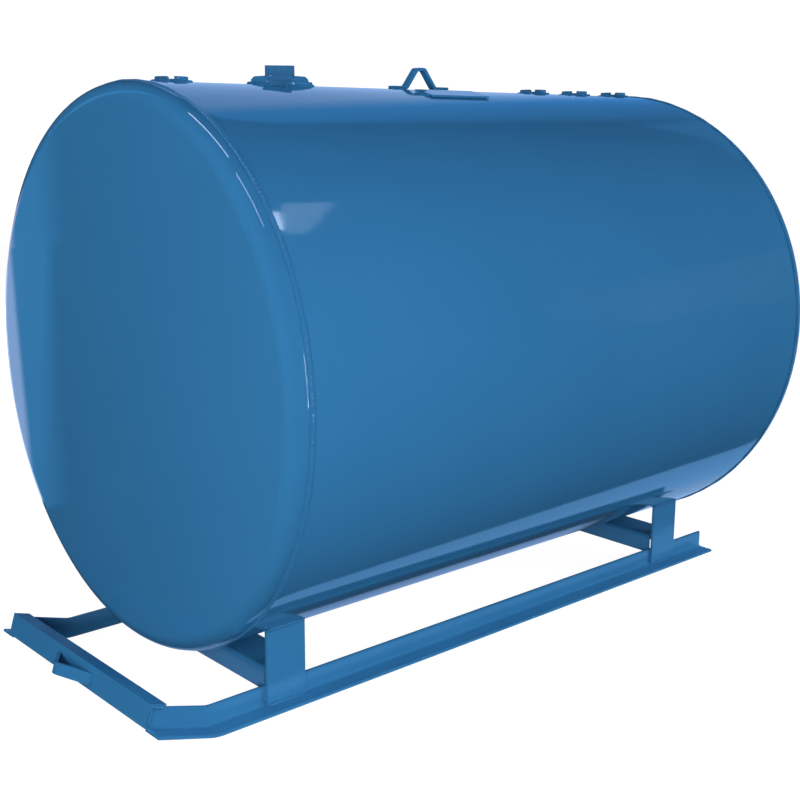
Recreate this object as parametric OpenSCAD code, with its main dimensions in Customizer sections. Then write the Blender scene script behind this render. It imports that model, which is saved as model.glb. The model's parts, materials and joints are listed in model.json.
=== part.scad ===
// Skid tank: a horizontal steel storage tank on a towing skid of two angle runners.
// Millimetres. +X runs from the tow end to the rear, +Z is up and the floor is z = 0.
// The origin is the middle of the whole object's footprint, on the floor.

/* [Tank] */
// Outside diameter of the shell and the heads
tank_diameter = 1219.2; // [1100:0.1:1400]
// Length over the two flat heads
tank_length = 1700; // [1500:1:2200]
// Plate thickness of the rolled shell
shell_wall = 3.4; // [2.6:0.1:5]
// Plate thickness of the flanged heads
head_wall = 3.4; // [2.6:0.1:5]
// Outside radius of the knuckle round a head
knuckle_radius = 38; // [25:1:60]
// Straight flange of a head behind its knuckle
head_flange = 4; // [2:0.5:20]
// Height of the tank's belly over the floor
belly_height = 90; // [78:0.5:96]

/* [Girth welds] */
// Width of the weld bead round each end of the shell
bead_width = 11; // [6:0.5:16]
// Height of the bead over the plate
bead_height = 2.2; // [1.5:0.1:3]

/* [Rolled angle] */
// Leg length of the runners' equal angle
angle_leg = 50.8; // [48:0.1:60]
// Thickness of the angle
angle_wall = 6.4; // [5:0.1:8]
// Radius in the root of the angle
angle_root = 6; // [3:0.1:6]
// Radius on the toes of the angle
angle_toe = 4; // [1:0.1:4.5]

/* [Runners] */
// Distance over the outer faces of the two upright legs
runner_gauge = 622; // [560:1:680]
// Runner's reach behind the rear head
runner_tail = 12; // [5:1:60]
// Distance from the front head to the start of the bend
bend_reach = 1; // [0:1:40]
// Bend radius along the runner's top edge
bend_radius = 60; // [40:1:90]
// Angle of the upturned tip
tip_angle = 17.2; // [8:0.1:25]
// Straight length of the tip beyond the bend
tip_length = 125; // [90:1:160]

/* [Tow bar and loop] */
// Width of the tow bar's flange on the tips
bar_flange = 38.1; // [30:0.1:52]
// Width of the tow loop at the tow bar
loop_base = 160; // [130:1:200]
// Reach of the loop in front of the tow bar
loop_reach = 46; // [38:1:60]
// Outside radius of its blunt nose
loop_nose = 22; // [16:1:30]
// Height of the loop's middle over the sole of the tip
loop_mid = 28; // [24:0.5:36]
// Height of the loop's flat bar
loop_height = 25.4; // [20:0.1:32]
// Thickness of the loop's flat bar
loop_wall = 8; // [6:0.1:10]

/* [Legs and cross channels] */
// Width of a leg plate along the tank
leg_width = 101.6; // [80:0.1:120]
// Thickness of a leg plate
leg_wall = 6.4; // [6.2:0.1:10]
// Distance from the front head to the middle of the front legs
front_leg_x = 186; // [150:1:260]
// Distance from the rear head to the middle of the rear legs
rear_leg_x = 177; // [150:1:260]
// Depth of the cross channels under the belly
channel_depth = 50.8; // [46:0.1:56]
// Thickness of the cross channels
channel_wall = 5; // [4:0.1:7]
// Outside bend radius of the cross channels
channel_bend = 10; // [8:0.5:14]

/* [Lifting lug] */
// Height of the lug over the crown
lug_rise = 53; // [44:1:70]
// Slope of the lug's two legs
lug_slope = 52; // [45:1:70]
// Straight length of the lug's flat top
lug_top = 15.5; // [10:0.5:40]
// Straight length of each foot of the lug
lug_foot = 40.5; // [25:0.5:60]
// Width of the lug's flat bar
lug_width = 19; // [16:0.5:32]
// Thickness of the lug's flat bar
lug_wall = 7.9; // [6:0.1:9]
// Inside radius of the lug's bends
lug_bend = 5; // [3:0.5:8]

/* [Crown plate] */
// Length of the plate along the tank
pad_length = 188; // [100:1:220]
// Width of the plate round the tank
pad_width = 64; // [50:1:90]
// Thickness of the plate
pad_wall = 5; // [3:0.1:8]
// Distance from the middle of the tank's length to the middle of the plate
pad_shift = -12; // [-60:1:60]
// Angle of the plate from the crown towards the left side
pad_angle = 12.5; // [9:0.5:20]

/* [Small fittings] */
// Distance of the single fitting from the front head
front_spud_x = 144; // [110:1:220]
// Distance of the last fitting from the rear head
rear_spud_x = 92; // [90:1:140]
// Distance between the three fittings at the rear
rear_spud_pitch = 170; // [100:1:190]
// Outside diameter of a small weld spud
spud_diameter = 80; // [76:1:90]
// Height of a small spud over the crown
spud_rise = 3; // [2.5:0.1:8]
// Bore of a small spud
spud_bore = 58; // [50:0.5:60]
// Diameter of the slotted plug's head
plug_diameter = 70; // [66:1:74]
// Thickness of the plug's disc under the two blocks
plug_disc = 2; // [1.5:0.1:5]
// Height of the plug's two blocks
plug_block = 5.5; // [4:0.1:12]
// Width of the slot between the blocks
plug_slot = 12; // [8:0.5:16]
// Turn of the front plug's slot from the cross direction
front_plug_turn = -32; // [-90:1:90]
// Turn of the rear plugs' slots from the cross direction
rear_plug_turn = -50; // [-90:1:90]

/* [Fill fitting] */
// Distance of the large fitting from the front head
fill_x = 425; // [360:1:520]
// Outside diameter of its weld spud
fill_spud_diameter = 147; // [142:1:160]
// Height of its spud over the crown
fill_spud_rise = 7; // [5:0.1:10]
// Bore of the large spud
fill_bore = 100; // [90:0.5:102]
// Width across the flats of the hexagon bushing
bushing_flats = 112; // [108:0.5:116]
// Height of the bushing's hexagon
bushing_rise = 12; // [9:0.1:16]
// Bore of the bushing
bushing_bore = 58; // [50:0.5:60]
// Side of the square head of its plug
square_side = 66; // [62:0.5:72]
// Height of the square head
square_rise = 23; // [18:0.5:34]
// Turn of the hexagon and the square from the tank's axis
fill_turn = -36; // [-60:1:60]

/* [Fits] */
// Gap left at a seat on the curved shell, filled by the weld
seat_gap = 0.25; // [0.1:0.05:0.5]
// Gap all round a plug or bushing in its bore
thread_gap = 0.3; // [0.1:0.05:0.6]
// Depth of a plug or bushing below the crown
thread_depth = 12; // [10:0.5:20]
// Thinning of an angle or flat bar in its bends
bend_draw = 0.03; // [0.02:0.01:0.1]
// Chamfer on the edges of the spuds, plugs and bushing
edge_chamfer = 1.2; // [0.5:0.1:1.5]

/* [Hidden] */
$fn = 96;
tank_radius = tank_diameter / 2;
axis_z = belly_height + tank_radius;
crown_z = axis_z + tank_radius;
joint_x = knuckle_radius + head_flange;
shell_length = tank_length - 2 * joint_x;

// Runner faces across the skid, and the axis that the tips are bent about
runner_y = runner_gauge / 2;
heel_y = runner_y - angle_wall;
bend_axis_z = angle_leg + bend_radius;
bar_face = tip_length + angle_wall;

// Both ends of the whole object, measured from the front head
loop_low = loop_mid - loop_height / 2;
front_x = -bend_reach - (bar_face + loop_reach) * cos(tip_angle) + (loop_low - bend_axis_z) * sin(tip_angle);
rear_x = tank_length + runner_tail;
head_x = -(front_x + rear_x) / 2;

// Fittings along the crown and legs under it, measured from the front head
rear_leg_mid = tank_length - rear_leg_x;
spud_x = concat([front_spud_x], [for (i = [2:-1:0]) tank_length - rear_spud_x - i * rear_spud_pitch]);
plug_turn = [front_plug_turn, rear_plug_turn, rear_plug_turn, rear_plug_turn];

paint = [0.19, 0.44, 0.63];

// Places children at a distance behind the front head, on the floor.
module from_head(x) {
    translate([head_x + x, 0, 0]) children();
}

// A solid round bar on the tank's axis, from x to x + length behind the front head.
module on_axis(x, length, radius) {
    from_head(x) translate([0, 0, axis_z]) rotate([0, 90, 0]) cylinder(r = radius, h = length, $fn = 720);
}

// The space that the tank takes up, with the gap of a welded seat round it.
module tank_space() {
    on_axis(-100, tank_length + 200, tank_radius + seat_gap);
}

// A quarter of a square left outside a circle: cuts or fills a corner at the origin.
module corner(radius) {
    difference() {
        square(radius);
        translate([radius, radius]) circle(r = radius);
    }
}

// A round bar with a chamfer round its top.
module chamfered(diameter, height) {
    cylinder(d = diameter, h = height - edge_chamfer);
    translate([0, 0, height - edge_chamfer])
        cylinder(d1 = diameter, d2 = diameter - 2 * edge_chamfer, h = edge_chamfer);
}

// Rolled shell, open at the heads and holed under each fitting.
module shell() {
    color(paint) difference() {
        on_axis(joint_x, shell_length, tank_radius);
        on_axis(joint_x - 1, shell_length + 2, tank_radius - shell_wall);
        for (x = spud_x) from_head(x) translate([0, 0, axis_z]) cylinder(d = spud_bore, h = tank_radius + 10);
        from_head(fill_x) translate([0, 0, axis_z]) cylinder(d = fill_bore, h = tank_radius + 10);
    }
}

// Half section of a flanged head: flat face at y = 0, rim along +y.
module head_section() {
    inner = knuckle_radius - head_wall;
    difference() {
        union() {
            square([tank_radius - knuckle_radius, knuckle_radius]);
            translate([tank_radius - knuckle_radius, knuckle_radius]) intersection() {
                circle(r = knuckle_radius);
                translate([0, -knuckle_radius]) square(knuckle_radius);
            }
            translate([0, knuckle_radius]) square([tank_radius, head_flange]);
        }
        translate([0, head_wall]) square([tank_radius - knuckle_radius, joint_x]);
        translate([tank_radius - knuckle_radius, knuckle_radius]) intersection() {
            circle(r = inner);
            translate([0, -inner]) square(inner);
        }
        translate([0, knuckle_radius]) square([tank_radius - head_wall, head_flange + 1]);
    }
}

module head_plate() {
    color(paint) rotate([0, 90, 0]) rotate_extrude($fn = 180) head_section();
}

module front_head() {
    from_head(0) translate([0, 0, axis_z]) head_plate();
}

module rear_head() {
    from_head(tank_length) translate([0, 0, axis_z]) mirror([1, 0, 0]) head_plate();
}

// Low rounded bead over the joint of the shell and a head.
module girth_weld(x) {
    bead_radius = (bead_width * bead_width / 4 + bead_height * bead_height) / (2 * bead_height);
    foot = tank_radius + seat_gap;
    color(paint) from_head(x) translate([0, 0, axis_z]) rotate([0, 90, 0]) rotate_extrude($fn = 180)
        intersection() {
            translate([foot + bead_height - bead_radius, 0]) circle(r = bead_radius);
            translate([foot, -bead_width]) square([bead_height + 1, 2 * bead_width]);
        }
}

module front_weld() {
    girth_weld(joint_x);
}

module rear_weld() {
    girth_weld(tank_length - joint_x);
}

// Section of the rolled angle: heel at the origin, legs along +x and +y, drawn in by the given amount.
module angle_section(across, up, draw = 0) {
    wall = angle_wall - 2 * draw;
    toe_x = across - 2 * draw;
    toe_y = up - 2 * draw;
    translate([draw, draw]) difference() {
        union() {
            square([toe_x, wall]);
            square([wall, toe_y]);
            translate([wall, wall]) corner(angle_root);
        }
        translate([toe_x, wall]) rotate(180) corner(angle_toe);
        translate([wall, toe_y]) rotate(180) corner(angle_toe);
    }
}

// Turns children from the end of a runner's straight part to the end of its bend.
module on_tip() {
    from_head(-bend_reach) translate([0, 0, bend_axis_z]) rotate([0, tip_angle, 0])
        translate([0, 0, -bend_axis_z]) children();
}

// Runner on the right: the angle's flange lies outwards on the floor, and the whole
// section is bent up at the tow end. The tip's top corner clears the tow bar's root.
module runner() {
    lap = 0.5;
    clear_z = angle_leg - angle_root - 1;
    color(paint) {
        from_head(-bend_reach) translate([0, heel_y, 0]) rotate([90, 0, 90])
            linear_extrude(rear_x + bend_reach) angle_section(angle_leg, angle_leg);
        from_head(-bend_reach) translate([0, heel_y, bend_axis_z]) rotate([0, 90, 90]) rotate([0, 0, -lap])
            rotate_extrude(angle = tip_angle + 2 * lap, $fn = 360)
                translate([bend_axis_z, 0]) rotate(90) angle_section(angle_leg, angle_leg, bend_draw);
        difference() {
            on_tip() translate([-tip_length, heel_y, 0]) rotate([90, 0, 90])
                linear_extrude(tip_length) angle_section(angle_leg, angle_leg);
            on_tip() translate([-tip_length, runner_y + 1, 0]) rotate([90, 0, 0])
                linear_extrude(angle_wall + 2)
                    polygon([[-1, clear_z], [angle_root + 1, angle_leg + 1], [-1, angle_leg + 1]]);
        }
    }
}

module right_runner() {
    runner();
}

module left_runner() {
    mirror([0, 1, 0]) runner();
}

// Angle across the tips: one leg over their ends, the flange on their top edges.
module tow_bar() {
    color(paint) on_tip() translate([-bar_face, -runner_y, angle_leg + angle_wall]) rotate([-90, 0, 0])
        linear_extrude(runner_gauge) angle_section(bar_flange, angle_leg);
}

// Plan of a blunt arrow of the given width at the tow bar, pointing along -x.
module arrow_plan(half, reach, nose) {
    mid = reach - nose;
    slope = asin(nose / norm([half, mid])) + atan2(mid, half);
    side = [mid + nose * cos(slope), nose * sin(slope)];
    translate([-mid, 0]) circle(r = nose);
    polygon([[0, half], [-side[0], side[1]], [-side[0], -side[1]], [0, -half]]);
}

// Flat bar bent to a blunt nose, welded on edge to the tow bar's front face.
module tow_loop() {
    half = loop_base / 2;
    mid = loop_reach - loop_nose;
    slope = asin(loop_nose / norm([half, mid])) + atan2(mid, half);
    color(paint) on_tip() translate([-bar_face, 0, loop_low]) linear_extrude(loop_height) difference() {
        arrow_plan(half, loop_reach, loop_nose);
        arrow_plan(half - loop_wall / sin(slope), loop_reach - loop_wall, loop_nose - loop_wall);
    }
}

// Section of a channel folded from plate: web up, flanges down, middle of the web at the origin.
module channel_section(width, depth) {
    inner = channel_bend - channel_wall;
    difference() {
        translate([-width / 2, -depth]) square([width, depth]);
        translate([width / 2, 0]) rotate(180) corner(channel_bend);
        translate([-width / 2, 0]) rotate(-90) corner(channel_bend);
        difference() {
            translate([channel_wall - width / 2, -depth - 1])
                square([width - 2 * channel_wall, depth - channel_wall + 1]);
            translate([width / 2 - channel_wall, -channel_wall]) rotate(180) corner(inner);
            translate([channel_wall - width / 2, -channel_wall]) rotate(-90) corner(inner);
        }
    }
}

// Channel across the skid between the upright legs, its web against the belly.
module cross_channel(x) {
    color(paint) from_head(x) translate([0, heel_y, belly_height - seat_gap]) rotate([90, 0, 0])
        linear_extrude(2 * heel_y) channel_section(leg_width, channel_depth);
}

module front_channel() {
    cross_channel(front_leg_x);
}

module rear_channel() {
    cross_channel(rear_leg_mid);
}

// Right leg plate on a runner's flange: it clears the angle's root, and its top is cut to the belly.
module leg_plate(x) {
    color(paint) difference() {
        from_head(x - leg_width / 2) rotate([90, 0, 90]) linear_extrude(leg_width)
            polygon([[runner_y, angle_wall + angle_root], [runner_y + angle_root, angle_wall],
                     [runner_y + leg_wall, angle_wall], [runner_y + leg_wall, axis_z], [runner_y, axis_z]]);
        tank_space();
    }
}

module front_right_leg() {
    leg_plate(front_leg_x);
}

module front_left_leg() {
    mirror([0, 1, 0]) leg_plate(front_leg_x);
}

module rear_right_leg() {
    leg_plate(rear_leg_mid);
}

module rear_left_leg() {
    mirror([0, 1, 0]) leg_plate(rear_leg_mid);
}

// Edge view of a bent flat bar. Each step is a straight length and the turn that follows it.
module bent_bar(steps, wall, bend, i = 0) {
    length = steps[i][0];
    turn = steps[i][1];
    lap = 2;
    square([length, wall]);
    if (turn != 0) {
        centre = turn > 0 ? wall + bend : -bend;
        start = turn > 0 ? -90 - lap : 90 + turn - lap;
        sweep = abs(turn) + 2 * lap;
        reach = 2 * (bend + wall);
        translate([length, centre]) {
            rotate(start) intersection() {
                difference() {
                    circle(r = bend + wall - bend_draw);
                    circle(r = bend + bend_draw);
                }
                polygon([[0, 0], [reach, 0], [reach * cos(sweep), reach * sin(sweep)]]);
            }
            rotate(turn) translate([0, -centre]) bent_bar(steps, wall, bend, i + 1);
        }
    }
}

// Flat bar bent to a trapezoid with a foot each way along the crown.
module lifting_lug() {
    turns = (2 * lug_bend + lug_wall) * (1 - cos(lug_slope));
    side = (lug_rise - lug_wall - turns) / sin(lug_slope);
    span = (2 * lug_bend + lug_wall) * sin(lug_slope) + side * cos(lug_slope);
    length = 2 * (lug_foot + span) + lug_top;
    color(paint) from_head((tank_length - length) / 2) translate([0, lug_width / 2, crown_z + seat_gap])
        rotate([90, 0, 0]) linear_extrude(lug_width)
            bent_bar([[lug_foot, lug_slope], [side, -lug_slope], [lug_top, -lug_slope],
                      [side, lug_slope], [lug_foot, 0]], lug_wall, lug_bend);
}

// Flat plate on the curve beside the crown; its long edges stand off the shell.
module crown_plate() {
    color(paint) from_head(tank_length / 2 + pad_shift) translate([0, 0, axis_z]) rotate([pad_angle, 0, 0])
        translate([-pad_length / 2, -pad_width / 2, tank_radius + seat_gap])
            cube([pad_length, pad_width, pad_wall]);
}

// Round weld spud with a bore, its foot cut to the shell.
module weld_spud(x, diameter, rise, bore) {
    color(paint) difference() {
        from_head(x) translate([0, 0, crown_z - 20]) chamfered(diameter, 20 + rise);
        from_head(x) translate([0, 0, crown_z - 30]) cylinder(d = bore, h = 60 + rise);
        tank_space();
    }
}

// Slotted plug: a shank in the spud's bore and a disc with two blocks on it.
module slotted_plug(x, turn) {
    shank = spud_bore - 2 * thread_gap;
    color(paint) from_head(x) translate([0, 0, crown_z]) {
        translate([0, 0, -thread_depth]) cylinder(d = shank, h = thread_depth + spud_rise + 1);
        translate([0, 0, spud_rise]) difference() {
            chamfered(plug_diameter, plug_disc + plug_block);
            rotate(turn) translate([-plug_slot / 2, -plug_diameter, plug_disc])
                cube([plug_slot, 2 * plug_diameter, plug_block + 1]);
        }
    }
}

module fill_spud() {
    weld_spud(fill_x, fill_spud_diameter, fill_spud_rise, fill_bore);
}

// Cone that takes the top corners off a hexagon or square head.
module corner_cone(flats, height) {
    cylinder(d1 = flats + 2 * height + 4, d2 = flats + 4, h = height);
}

// Hexagon bushing screwed into the large spud.
module fill_bushing() {
    color(paint) from_head(fill_x) translate([0, 0, crown_z]) difference() {
        union() {
            translate([0, 0, -thread_depth])
                cylinder(d = fill_bore - 2 * thread_gap, h = thread_depth + fill_spud_rise + 1);
            translate([0, 0, fill_spud_rise]) intersection() {
                rotate(fill_turn) cylinder(d = bushing_flats / cos(30), h = bushing_rise, $fn = 6);
                corner_cone(bushing_flats, bushing_rise);
            }
        }
        translate([0, 0, -thread_depth - 1])
            cylinder(d = bushing_bore, h = thread_depth + fill_spud_rise + bushing_rise + 2);
    }
}

// Square-headed plug screwed into the bushing.
module fill_plug() {
    seat = fill_spud_rise + bushing_rise;
    color(paint) from_head(fill_x) translate([0, 0, crown_z]) {
        translate([0, 0, -thread_depth])
            cylinder(d = bushing_bore - 2 * thread_gap, h = thread_depth + seat + 1);
        translate([0, 0, seat]) intersection() {
            rotate(fill_turn) translate([-square_side / 2, -square_side / 2, 0])
                cube([square_side, square_side, square_rise]);
            cylinder(d1 = square_side * sqrt(2) + 2 * square_rise - 8, d2 = square_side * sqrt(2) - 8,
                     h = square_rise);
        }
    }
}

module small_spud(i) {
    weld_spud(spud_x[i], spud_diameter, spud_rise, spud_bore);
}

module small_plug(i) {
    slotted_plug(spud_x[i], plug_turn[i]);
}

shell();
front_head();
rear_head();
front_weld();
rear_weld();
left_runner();
right_runner();
tow_bar();
tow_loop();
front_channel();
rear_channel();
front_left_leg();
front_right_leg();
rear_left_leg();
rear_right_leg();
lifting_lug();
crown_plate();
fill_spud();
fill_bushing();
fill_plug();
small_spud(0);  // spud_1
small_spud(1);  // spud_2
small_spud(2);  // spud_3
small_spud(3);  // spud_4
small_plug(0);  // plug_1
small_plug(1);  // plug_2
small_plug(2);  // plug_3
small_plug(3);  // plug_4
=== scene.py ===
import json
import math

import bmesh
import bpy
from mathutils import Matrix, Quaternion, Vector


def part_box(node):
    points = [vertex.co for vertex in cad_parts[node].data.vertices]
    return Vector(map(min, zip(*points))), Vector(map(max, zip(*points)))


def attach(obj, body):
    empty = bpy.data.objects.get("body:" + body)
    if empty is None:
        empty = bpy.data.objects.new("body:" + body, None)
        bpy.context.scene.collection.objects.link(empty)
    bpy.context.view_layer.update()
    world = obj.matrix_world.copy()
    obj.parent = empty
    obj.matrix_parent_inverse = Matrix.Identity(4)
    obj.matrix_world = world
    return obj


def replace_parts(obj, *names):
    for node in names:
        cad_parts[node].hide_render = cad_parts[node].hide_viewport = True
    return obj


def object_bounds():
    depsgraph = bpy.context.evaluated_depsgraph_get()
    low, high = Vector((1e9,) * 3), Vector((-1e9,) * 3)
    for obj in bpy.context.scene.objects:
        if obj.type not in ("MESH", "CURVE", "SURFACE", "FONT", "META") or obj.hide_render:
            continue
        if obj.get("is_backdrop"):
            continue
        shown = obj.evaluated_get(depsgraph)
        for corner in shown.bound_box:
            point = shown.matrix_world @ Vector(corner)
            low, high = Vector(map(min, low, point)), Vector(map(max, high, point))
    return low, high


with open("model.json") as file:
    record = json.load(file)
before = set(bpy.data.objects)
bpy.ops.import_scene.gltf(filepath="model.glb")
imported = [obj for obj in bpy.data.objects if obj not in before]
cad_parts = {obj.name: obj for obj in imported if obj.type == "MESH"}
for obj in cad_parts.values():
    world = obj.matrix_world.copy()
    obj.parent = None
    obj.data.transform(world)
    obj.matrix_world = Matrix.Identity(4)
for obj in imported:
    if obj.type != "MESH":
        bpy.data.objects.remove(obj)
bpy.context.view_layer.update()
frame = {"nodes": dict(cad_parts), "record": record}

nodes = frame["nodes"]
scene = bpy.context.scene

# Places on the tank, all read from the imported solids, in metres
shell_low, shell_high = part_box("shell")
radius = (shell_high.z - shell_low.z) / 2
axis_z = (shell_high.z + shell_low.z) / 2
crown_z = shell_high.z
front_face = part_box("front_head")[0].x
rear_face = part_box("rear_head")[1].x
front_seam, rear_seam = shell_low.x, shell_high.x

# The runners' angle, and their upturned tips: start and axis of the bend, and its angle
angle_leg, angle_wall = 0.0508, 0.0064
bend_x = front_face - 0.001
bend_z = 0.1108
tip_angle = math.radians(17.2)


def on_tip(along, y, up):
    """A point on the bent tips: along the tip from the bend, across, and up from its sole."""
    rise = up - bend_z
    return Vector((bend_x - along * math.cos(tip_angle) + rise * math.sin(tip_angle), y,
                   bend_z + along * math.sin(tip_angle) + rise * math.cos(tip_angle)))


def linear(code):
    """An sRGB hex colour as linear red, green, blue and alpha."""
    parts = [int(code[i:i + 2], 16) / 255 for i in (1, 3, 5)]
    return [c / 12.92 if c <= 0.04045 else ((c + 0.055) / 1.055) ** 2.4 for c in parts] + [1.0]


def glow(code, strength):
    """The colour of a glow: an sRGB hex colour times a strength. On the paper its patches are
    painted glow, no lamps.
    """
    return [strength * c for c in linear(code)[:3]] + [1.0]


def add(tree, kind, inputs, **settings):
    """One node: its settings, and its inputs as values or as the sockets they come from."""
    made = tree.nodes.new(kind)
    for name, value in settings.items():
        setattr(made, name, value)
    for name, value in inputs.items():
        if isinstance(value, bpy.types.NodeSocket):
            tree.links.new(value, made.inputs[name])
        else:
            made.inputs[name].default_value = value
    return made


def per_mm(size):
    """Texture scale for a pattern whose features are that many millimetres apart."""
    return 1000.0 / size


# Enamel sprayed by hand: its tone drifts and its gloss varies over these distances, and the plate
# draws in by that depth over that reach before a girth weld
tone_mm, gloss_mm = 420, 90
pull_reach, pull_depth = 0.022, 0.0008


def enamel(name, colour, shade, roughness, peel_mm, peel_depth, wave_mm, wave_depth, seams=()):
    """Sprayed gloss enamel: even colour, orange peel, and the plate's own slow waves under it."""
    material = bpy.data.materials.new(name)
    material.use_nodes = True
    tree = material.node_tree
    tree.nodes.clear()
    place = add(tree, "ShaderNodeTexCoord", {}).outputs["Object"]
    cloud = add(tree, "ShaderNodeTexNoise", {
        "Vector": place, "Scale": per_mm(tone_mm), "Detail": 3.0})
    tone = add(tree, "ShaderNodeMapRange", {
        "Value": cloud.outputs["Fac"], "From Min": 0.3, "From Max": 0.7})
    paint = add(tree, "ShaderNodeMix", {
        "Factor": tone.outputs["Result"], "A": linear(colour), "B": linear(shade)},
        data_type="RGBA")
    film = add(tree, "ShaderNodeTexNoise", {
        "Vector": place, "Scale": per_mm(gloss_mm), "Detail": 4.0})
    gloss = add(tree, "ShaderNodeMapRange", {
        "Value": film.outputs["Fac"], "From Min": 0.3, "From Max": 0.7,
        "To Min": roughness * 0.8, "To Max": roughness * 1.25})
    peel = add(tree, "ShaderNodeTexNoise", {
        "Vector": place, "Scale": per_mm(peel_mm), "Detail": 1.5})
    wave = add(tree, "ShaderNodeTexNoise", {
        "Vector": place, "Scale": per_mm(wave_mm), "Detail": 1.0})
    fine = add(tree, "ShaderNodeMath", {0: peel.outputs["Fac"], 1: peel_depth},
               operation="MULTIPLY")
    height = add(tree, "ShaderNodeMath", {
        0: wave.outputs["Fac"], 1: wave_depth, 2: fine.outputs["Value"]},
        operation="MULTIPLY_ADD").outputs["Value"]
    along = add(tree, "ShaderNodeSeparateXYZ", {"Vector": place}).outputs["X"]
    for seam in seams:
        offset = add(tree, "ShaderNodeMath", {0: along, 1: seam}, operation="SUBTRACT")
        away = add(tree, "ShaderNodeMath", {0: offset.outputs["Value"]}, operation="ABSOLUTE")
        decay = add(tree, "ShaderNodeMath", {0: away.outputs["Value"], 1: -1 / pull_reach},
                    operation="MULTIPLY")
        pull = add(tree, "ShaderNodeMath", {0: decay.outputs["Value"]}, operation="EXPONENT")
        height = add(tree, "ShaderNodeMath", {
            0: pull.outputs["Value"], 1: -pull_depth, 2: height},
            operation="MULTIPLY_ADD").outputs["Value"]
    bump = add(tree, "ShaderNodeBump", {"Height": height, "Distance": 1.0, "Strength": 1.0})
    shader = add(tree, "ShaderNodeBsdfPrincipled", {
        "Base Color": paint.outputs["Result"], "Roughness": gloss.outputs["Result"],
        "Normal": bump.outputs["Normal"], "IOR": 1.5})
    add(tree, "ShaderNodeOutputMaterial", {"Surface": shader.outputs["BSDF"]})
    return material


# Gloss alkyd enamel sprayed on rolled plate: a deep even blue with a soft orange peel, and slow
# waves in the plate that bend the reflected floor line.
shell_enamel = enamel("gloss_alkyd_enamel_on_rolled_shell", "#3173A3", "#2F70A0", 0.07,
                      9, 0.00003, 300, 0.0006, (front_seam, rear_seam))
# The same enamel on pressed heads: smooth flat plate with broad shallow dishing, so that the
# reflected floor keeps sharp edges.
head_enamel = enamel("gloss_alkyd_enamel_on_pressed_head", "#3173A3", "#2F70A0", 0.02,
                     9, 0.000004, 420, 0.0003)
# The same enamel over mill scale on hot-rolled angle and flat bar: a little duller and coarser.
skid_enamel = enamel("gloss_alkyd_enamel_on_hot_rolled_bar", "#3275A6", "#2E6E9D", 0.16,
                     6, 0.00004, 70, 0.0002)
# The same enamel on cast plugs and turned spuds: a fine cast grain shows through.
fitting_enamel = enamel("gloss_alkyd_enamel_on_cast_iron", "#3274A5", "#2F6F9F", 0.08,
                        3, 0.00002, 30, 0.0001)
# The same enamel over a weld bead: it pools between the ripples and shines on their crests.
weld_enamel = enamel("gloss_alkyd_enamel_on_weld_bead", "#3173A3", "#2D6D9D", 0.06,
                     3, 0.00004, 20, 0.0002)

finishes = {"tank_paint": shell_enamel, "skid_paint": skid_enamel, "fitting_paint": fitting_enamel}
for row in frame["record"]["subparts"]:
    cad = nodes[row["node"]]
    finish = head_enamel if row["node"].endswith("_head") else finishes[row["material_slot"]]
    for place in cad.material_slots:
        place.material = finish


def piece(name, bm, material):
    """A finished mesh as a named piece that rides on the tank."""
    mesh = bpy.data.meshes.new(name)
    bmesh.ops.recalc_face_normals(bm, faces=bm.faces)
    bm.to_mesh(mesh)
    bm.free()
    mesh.shade_smooth()
    mesh.materials.append(material)
    made = bpy.data.objects.new(name, mesh)
    scene.collection.objects.link(made)
    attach(made, "root")
    return made


def join(bm, part):
    """Adds a finished part to a larger mesh."""
    mesh = bpy.data.meshes.new("part")
    part.to_mesh(mesh)
    part.free()
    bm.from_mesh(mesh)
    bpy.data.meshes.remove(mesh)


# Weld ripples, drawn coarse enough to show: their pitch round a ring and along a straight bead,
# the points drawn for each, and the sides of a bead's profile
ring_pitch, straight_pitch = 0.010, 0.005
ripple_points = 4
bead_sides = 10


def ring_bead(whole, centre, axis, ring_radius, width, height, crown=None):
    """A rippled bead round an axis; crown(point) moves it on to a curved seat."""
    bm = bmesh.new()
    ripples = round(2 * math.pi * ring_radius / ring_pitch)
    turn = Vector((0, 0, 1)).rotation_difference(Vector(axis)).to_matrix().to_4x4()
    profile = bmesh.ops.create_circle(bm, segments=bead_sides, radius=1.0)["verts"]
    bmesh.ops.transform(bm, verts=profile, matrix=Matrix.Translation((ring_radius, 0, 0))
                        @ Matrix.Rotation(math.pi / 2, 4, "X")
                        @ Matrix.Diagonal((height, width / 2, 1, 1)))
    edges = list({e for v in profile for e in v.link_edges})
    bmesh.ops.spin(bm, geom=edges, cent=(0, 0, 0), axis=(0, 0, 1), angle=2 * math.pi,
                   steps=ripple_points * ripples, use_merge=True)
    # Ripples that lean with the torch, and the slow unevenness of a weld laid by hand
    for v in bm.verts:
        angle = math.atan2(v.co.y, v.co.x)
        out = math.hypot(v.co.x, v.co.y) - ring_radius
        lap = math.sin(angle * ripples + 160 * v.co.z)
        uneven = 0.14 * math.sin(23 * angle) + 0.14 * math.sin(61 * angle + 1.3)
        swell = 1 + 0.24 * lap + uneven
        reach = (ring_radius + out * swell) / (ring_radius + out)
        v.co = Vector((v.co.x * reach, v.co.y * reach, v.co.z * (1 + 0.08 * lap)))
    bmesh.ops.transform(bm, verts=bm.verts, matrix=Matrix.Translation(centre) @ turn)
    if crown:
        for v in bm.verts:
            v.co.z += crown(v.co)
    join(whole, bm)


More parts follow.
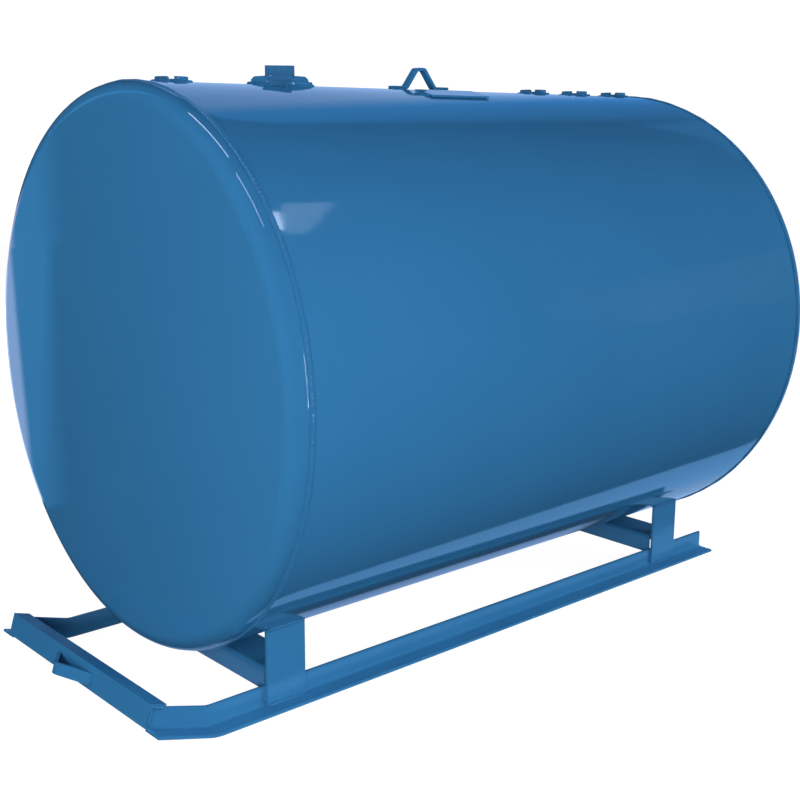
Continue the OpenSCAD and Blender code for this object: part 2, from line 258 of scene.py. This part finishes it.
def straight_bead(whole, start, end, size):
    """A rippled fillet bead from start to end, tapered off at both ends."""
    bm = bmesh.new()
    start = Vector(start)
    run = Vector(end) - start
    steps = max(8, round(run.length / (straight_pitch / ripple_points)))
    profile = bmesh.ops.create_circle(bm, cap_ends=True, segments=bead_sides,
                                      radius=size)["verts"]
    faces = list({f for v in profile for f in v.link_faces})
    edges = list({e for v in profile for e in v.link_edges})
    bmesh.ops.spin(bm, geom=faces + edges, cent=(0, 0, 0), axis=(0, 0, 1),
                   dvec=(0, 0, run.length / steps), angle=0.0, steps=steps)
    for v in bm.verts:
        lap = math.sin(2 * math.pi * v.co.z / straight_pitch + 300 * v.co.x)
        end_off = min(v.co.z, run.length - v.co.z) / (1.5 * size)
        taper = math.sqrt(max(0.05, min(1.0, end_off)))
        swell = taper * (1 + 0.14 * lap + 0.10 * math.sin(140 * v.co.z + 900 * start.x))
        v.co.x *= swell
        v.co.y *= swell
    lie = Vector((0, 0, 1)).rotation_difference(run).to_matrix().to_4x4()
    bmesh.ops.transform(bm, verts=bm.verts, matrix=Matrix.Translation(start) @ lie)
    join(whole, bm)


# Girth welds: low rippled beads that stand for the plain CAD rings
girth_width, girth_height = 0.0115, 0.0024
for name, seam in (("front", front_seam), ("rear", rear_seam)):
    bm = bmesh.new()
    ring_bead(bm, (seam, 0, axis_z), (1, 0, 0), radius, girth_width, girth_height)
    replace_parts(piece(name + "_girth_weld", bm, weld_enamel), name + "_weld")

# Sizes of the fillet welds: along the shell, at the tow loop, in most corners, and at light edges
shell_fillet, loop_fillet, fillet, light_fillet = 0.0055, 0.0050, 0.0045, 0.0040

# Fillet welds of the skid: legs to shell and runners, channels to shell and runners
bm = bmesh.new()
leg_edge_low, leg_edge_high = 0.012, 0.049
channel_half = 0.035
for leg in ("front_left_leg", "front_right_leg", "rear_left_leg", "rear_right_leg"):
    low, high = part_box(leg)
    side = 1 if low.y > 0 else -1
    outer = side * max(abs(low.y), abs(high.y))
    inner = side * min(abs(low.y), abs(high.y))
    top = axis_z - math.sqrt(radius ** 2 - outer ** 2)
    straight_bead(bm, (low.x, outer, top), (high.x, outer, top), shell_fillet)
    straight_bead(bm, (low.x, inner, top - 0.004), (high.x, inner, top - 0.004), fillet)
    straight_bead(bm, (low.x, outer, low.z), (high.x, outer, low.z), fillet)
    for x in (low.x, high.x):
        straight_bead(bm, (x, inner, leg_edge_low), (x, inner, leg_edge_high), light_fillet)
        straight_bead(bm, (x, inner, top - 0.002), (x, outer, top), fillet)
for channel in ("front_channel", "rear_channel"):
    low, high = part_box(channel)
    for x in (low.x, high.x):
        straight_bead(bm, (x, -channel_half, high.z), (x, channel_half, high.z), fillet)
        for y in (low.y, high.y):
            straight_bead(bm, (x, y, low.z), (x, y, 0.0505), light_fillet)

# The tow bar's welds on a tip and the loop's on the bar, as ends (along, across, up) and a size
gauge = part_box("tow_bar")[1].y
bar_front = 0.1314
bar_back, bar_toe = bar_front - angle_wall, bar_front - 0.037
inside = gauge - angle_wall
loop_low, loop_high = 0.0155, 0.0405
for side in (-1, 1):
    for start, end, size in (
            ((bar_back, inside, 0.010), (bar_back, inside, 0.044), fillet),
            ((bar_toe, inside, angle_leg), (bar_front - 0.012, inside, angle_leg), fillet),
            ((bar_toe, gauge, angle_leg), (bar_front - 0.008, gauge, angle_leg), light_fillet),
            ((bar_back, gauge, 0.012), (bar_back, gauge, 0.050), light_fillet),
            ((bar_back, gauge - 0.004, angle_wall), (bar_back, gauge + 0.030, angle_wall),
             light_fillet),
            ((bar_front, 0.079, loop_low), (bar_front, 0.079, loop_high), loop_fillet),
            ((bar_front, 0.066, loop_low), (bar_front, 0.066, loop_high), light_fillet)):
        ends = [on_tip(along, side * across, up) for along, across, up in (start, end)]
        straight_bead(bm, ends[0], ends[1], size)
piece("skid_fillet_welds", bm, weld_enamel)


def saddle(point):
    """Drop of the shell's crown below its highest line at that point."""
    return math.sqrt(radius ** 2 - min(abs(point.y), radius) ** 2) - radius


# Fillet welds of the crown fittings, the lug's feet and the ends of the crown plate
bm = bmesh.new()
spud_width, spud_height = 0.008, 0.004
lug_foot = 0.044
pad_angle, pad_half = math.radians(12.5), 0.022
for spud in ("fill_spud", "spud_1", "spud_2", "spud_3", "spud_4"):
    low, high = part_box(spud)
    ring_bead(bm, ((low.x + high.x) / 2, 0, crown_z), (0, 0, 1), (high.x - low.x) / 2,
              spud_width, spud_height, saddle)
low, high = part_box("lifting_lug")
for x0, x1 in ((low.x, low.x + lug_foot), (high.x - lug_foot, high.x)):
    for y in (low.y, high.y):
        straight_bead(bm, (x0, y, crown_z), (x1, y, crown_z), fillet)
for x in (low.x, high.x):
    straight_bead(bm, (x, low.y, crown_z), (x, high.y, crown_z), fillet)
low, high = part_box("crown_plate")
for x in (low.x, high.x):
    turns = [pad_angle + across / radius for across in (-pad_half, pad_half)]
    ends = [(x, -radius * math.sin(t), axis_z + radius * math.cos(t)) for t in turns]
    straight_bead(bm, ends[0], ends[1], fillet)
piece("crown_fillet_welds", bm, weld_enamel)


# Dim cool light that the room gives back
room_light = glow("#B4D2FF", 0.05)


def stage_mesh(name, bm, material):
    """A piece of the studio, which is no part of the tank."""
    mesh = bpy.data.meshes.new(name)
    bm.to_mesh(mesh)
    bm.free()
    mesh.materials.append(material)
    made = bpy.data.objects.new(name, mesh)
    scene.collection.objects.link(made)
    made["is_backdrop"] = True


def paper_with_painted_reflections(name, grey, white, painted_pools):
    """Pale matt paper: white to the camera, and it keeps the shadow. In reflections it is as dim
    as the room but for its patches of painted glow, no lamps, that paint reflections on the tank:
    each a colour, and soft limits (direction, dark from, glows from)."""
    material = bpy.data.materials.new(name)
    material.use_nodes = True
    tree = material.node_tree
    tree.nodes.clear()
    path = add(tree, "ShaderNodeLightPath", {})
    place = add(tree, "ShaderNodeTexCoord", {}).outputs["Object"]
    bounced = add(tree, "ShaderNodeMath", {
        0: path.outputs["Is Glossy Ray"], 1: path.outputs["Is Transmission Ray"]},
        operation="MAXIMUM").outputs["Value"]
    seen = add(tree, "ShaderNodeMath", {0: path.outputs["Is Camera Ray"], 1: white},
               operation="MULTIPLY").outputs["Value"]
    paper = add(tree, "ShaderNodeMix", {
        "Factor": bounced, "A": (grey, grey, grey, 1), "B": (0, 0, 0, 1)},
        data_type="RGBA").outputs["Result"]
    whole = add(tree, "ShaderNodeAddShader", {
        0: add(tree, "ShaderNodeBsdfDiffuse", {"Color": paper}).outputs["BSDF"],
        1: add(tree, "ShaderNodeEmission", {"Strength": seen}).outputs["Emission"]})
    # The room's even dim glow in reflections, then each patch of painted glow that paints a
    # reflection on the tank
    for colour, limits in ((room_light, ()),) + painted_pools:
        painted_glow_mask = bounced
        for direction, dark, light in limits:
            along = add(tree, "ShaderNodeVectorMath", {0: place, 1: direction},
                        operation="DOT_PRODUCT")
            inside = add(tree, "ShaderNodeMapRange", {
                "Value": along.outputs["Value"], "From Min": dark, "From Max": light})
            painted_glow_mask = add(tree, "ShaderNodeMath", {0: painted_glow_mask, 1: inside.outputs["Result"]},
                      operation="MULTIPLY").outputs["Value"]
        painted_pool = add(tree, "ShaderNodeEmission", {"Color": colour, "Strength": painted_glow_mask})
        whole = add(tree, "ShaderNodeAddShader", {
            0: whole.outputs["Shader"], 1: painted_pool.outputs["Emission"]})
    add(tree, "ShaderNodeOutputMaterial", {"Surface": whole.outputs["Shader"]})
    return material


along_x, along_y, along_z = (1, 0, 0), (0, 1, 0), (0, 0, 1)
paper_grey = 0.16
# Painted reflections: a blue strip and a pale crescent of painted glow for the front head
painted_strip_reflection, painted_crescent_reflection = glow("#50B5FF", 1.0), glow("#E3DFFF", 1.7)

# Studio floor. Its patches of painted glow show only in reflections, as painted reflections in the
# belly: beside the near runner, between the runners and behind the tank, with edges that stand in
# for the shade under the tank.
# Two far ones paint reflections in the front head: a soft strip, and a pale crescent at its far
# rim.
floor_radius = 14.0
under_front = (along_x, -0.74, -0.70)
far_runner = (along_y, 0.26, 0.22)
far_floor = (along_y, 1.29, 1.34)
floor_painted_reflections = (
    (glow("#7CBCFF", 1.2), (((0.06, 1, 0), -0.4396, -0.4336), under_front,
                            (along_y, -0.29, -0.30))),
    (glow("#98C3FF", 0.7), (under_front, (along_x, 0.76, 0.62), (along_y, -0.215, -0.195),
                            far_runner)),
    (glow("#99C8FF", 1.0), ((along_x, 0.97, 1.00), (along_y, -0.30, -0.29), far_runner)),
    (painted_strip_reflection, (far_floor, ((1, 0.485, 0), -0.63, -0.50))),
    (painted_crescent_reflection, (far_floor, ((1, 0.4425, 0), -0.562, -0.538), (along_x, 0.30, -0.60))))
bm = bmesh.new()
bmesh.ops.create_circle(bm, cap_ends=True, segments=96, radius=floor_radius)
stage_mesh("floor", bm, paper_with_painted_reflections("floor_paper_with_painted_reflections", paper_grey, 0.96, floor_painted_reflections))

# Backdrop behind the tank as the camera sees it. Its patches of painted glow show only in
# reflections, as painted
# reflections along the crown: a warm pale one, a blue one over it and a faint one at the rear. The
# head's painted strip and crescent go on up it.
backdrop_reach, backdrop_height, backdrop_angle = 11.0, 13.0, math.radians(122)
left_end = (along_x, 4.4, 5.2)
above = (along_z, 1.8, 2.8)
backdrop_painted_reflections = (
    (glow("#FFEBC1", 0.30), (((8, 0, 1), 77.0, 69.0), left_end, above)),
    (glow("#43A5FF", 0.88), ((along_x, 11.5, 8.6), ((5, 0, 1), 59.8, 57.3), left_end, above)),
    (glow("#4DAAFF", 0.40), ((along_x, 10.3, 10.5), (along_z, 7.95, 7.75))),
    (painted_strip_reflection, ((along_x, -4.2, -4.7), (along_x, -5.40, -5.16))),
    (painted_crescent_reflection, ((along_x, 4.0, 2.0), (along_x, -4.95, -4.90), (along_z, 1.2, 0.8))))
bm = bmesh.new()
foot = bm.verts.new((backdrop_reach, 0, 0))
head = bm.verts.new((backdrop_reach, 0, backdrop_height))
rail = bm.edges.new((foot, head))
bmesh.ops.spin(bm, geom=[foot, head, rail], cent=(0, 0, 0), axis=(0, 0, 1), angle=backdrop_angle,
               steps=48)
stage_mesh("backdrop", bm, paper_with_painted_reflections("backdrop_paper_with_painted_reflections", paper_grey, 1.0, backdrop_painted_reflections))

# Plain surround: white to the camera, a dim cool room to everything else
world = bpy.data.worlds.new("studio")
scene.world = world
world.use_nodes = True
tree = world.node_tree
tree.nodes.clear()
path = add(tree, "ShaderNodeLightPath", {})
room = add(tree, "ShaderNodeBackground", {"Color": room_light, "Strength": 1.0})
white = add(tree, "ShaderNodeBackground", {"Color": (1, 1, 1, 1), "Strength": 1.0})
surround = add(tree, "ShaderNodeMixShader", {
    0: path.outputs["Is Camera Ray"], 1: room.outputs["Background"],
    2: white.outputs["Background"]})
add(tree, "ShaderNodeOutputWorld", {"Surface": surround.outputs["Shader"]})


def softbox(name, place, target, width, height, power, mirrored=True, roll=0.0, spread=180):
    """A soft panel of light at a place, facing a target. One that is mirrored shows in the gloss
    and is cool; the others are white and light the paint alone."""
    light = bpy.data.lights.new(name, "AREA")
    light.shape = "RECTANGLE"
    light.size, light.size_y = width, height
    light.energy = power
    light.spread = math.radians(spread)
    if mirrored:
        light.color = linear("#D2E4FF")[:3]
    made = bpy.data.objects.new(name, light)
    made.location = place
    made.rotation_mode = "QUATERNION"
    made.rotation_quaternion = ((target - place).to_track_quat("-Z", "Y")
                                @ Quaternion((0, 0, 1), math.radians(roll)))
    made.visible_camera = False
    made.visible_glossy = mirrored
    scene.collection.objects.link(made)


def towards(azimuth, elevation, distance):
    """The offset of a place seen in a direction, in degrees, at a distance in metres."""
    turn, rise = math.radians(azimuth), math.radians(elevation)
    return distance * Vector((math.cos(turn) * math.cos(rise), math.sin(turn) * math.cos(rise),
                              math.sin(rise)))


# Soft panels light the head, the near side and the far side evenly: azimuth, elevation and
# distance from the tank's middle, width, height and power
middle = Vector(((front_face + rear_face) / 2, 0, axis_z))
for name, azimuth, elevation, distance, width, height, power in (
        ("key", -142, 5, 4.0, 2.4, 1.6, 107),
        ("side_fill", -32, 8, 9.5, 3.6, 2.4, 785),
        ("head_fill", 140, 30, 6.0, 2.0, 2.0, 118),
        ("back_fill", 75, 4, 6.0, 3.6, 2.4, 190)):
    softbox(name, middle + towards(azimuth, elevation, distance), middle, width, height, power,
            mirrored=False)

# A narrow strip with a grid in front of it lights the near runner alone
runner = Vector((0.10, -0.33, 0))
softbox("runner_strip", runner + Vector((0, -0.74, 1.22)), runner, 2.0, 0.05, 0.10,
        mirrored=False, spread=4)

# A small window shines on the shell behind the front weld, with a brighter pane in it, and a tall
# slit glints along the weld
shine = Vector((front_seam + 0.06, -0.50, axis_z + 0.35))
softbox("window", shine + towards(-29, 47.5, 4.0), shine, 0.84, 0.30, 1.3, roll=26)
softbox("pane", shine + towards(-33.5, 49.2, 4.0), shine, 0.50, 0.14, 2.4, roll=38)
softbox("slit", shine + towards(-72, -3, 4.0), shine, 0.08, 1.4, 13)

# Two overhead tubes draw a broken bright line along the head's knuckle
tube_rise, tube_width, tube_length, tube_power = 4.2, 0.3, 1.9, 19
for name, x, y in (("front_tube", -1.22, -1.83), ("rear_tube", -0.40, 0.46)):
    place = Vector((front_face + x, y, axis_z + tube_rise))
    softbox(name, place, place - Vector((0, 0, 1)), tube_width, tube_length, tube_power)

# Camera at the photograph's view, from the fit to the tank's outline
frame_px, focal_px, sensor_mm = 800, 1221.9, 36.0
eye = Vector((front_face - 1.26016, -2.30676, axis_z + 0.51241))
yaw, pitch, roll = math.radians(41.662), math.radians(-12.456), math.radians(0.278)
ahead = Vector((math.sin(yaw) * math.cos(pitch), math.cos(yaw) * math.cos(pitch),
                math.sin(pitch)))
level = Vector((math.cos(yaw), -math.sin(yaw), 0))
upright = level.cross(ahead)
right = math.cos(roll) * level + math.sin(roll) * upright
up = math.cos(roll) * upright - math.sin(roll) * level
camera = bpy.data.objects.new("camera", bpy.data.cameras.new("camera"))
camera.data.sensor_width = sensor_mm
camera.data.lens = focal_px / frame_px * sensor_mm
camera.matrix_world = (Matrix.Translation(eye)
                       @ Matrix((right, up, -ahead)).transposed().to_4x4())
camera.data.clip_end = 100
scene.collection.objects.link(camera)
scene.camera = camera

scene.view_settings.view_transform = "Standard"

low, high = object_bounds()
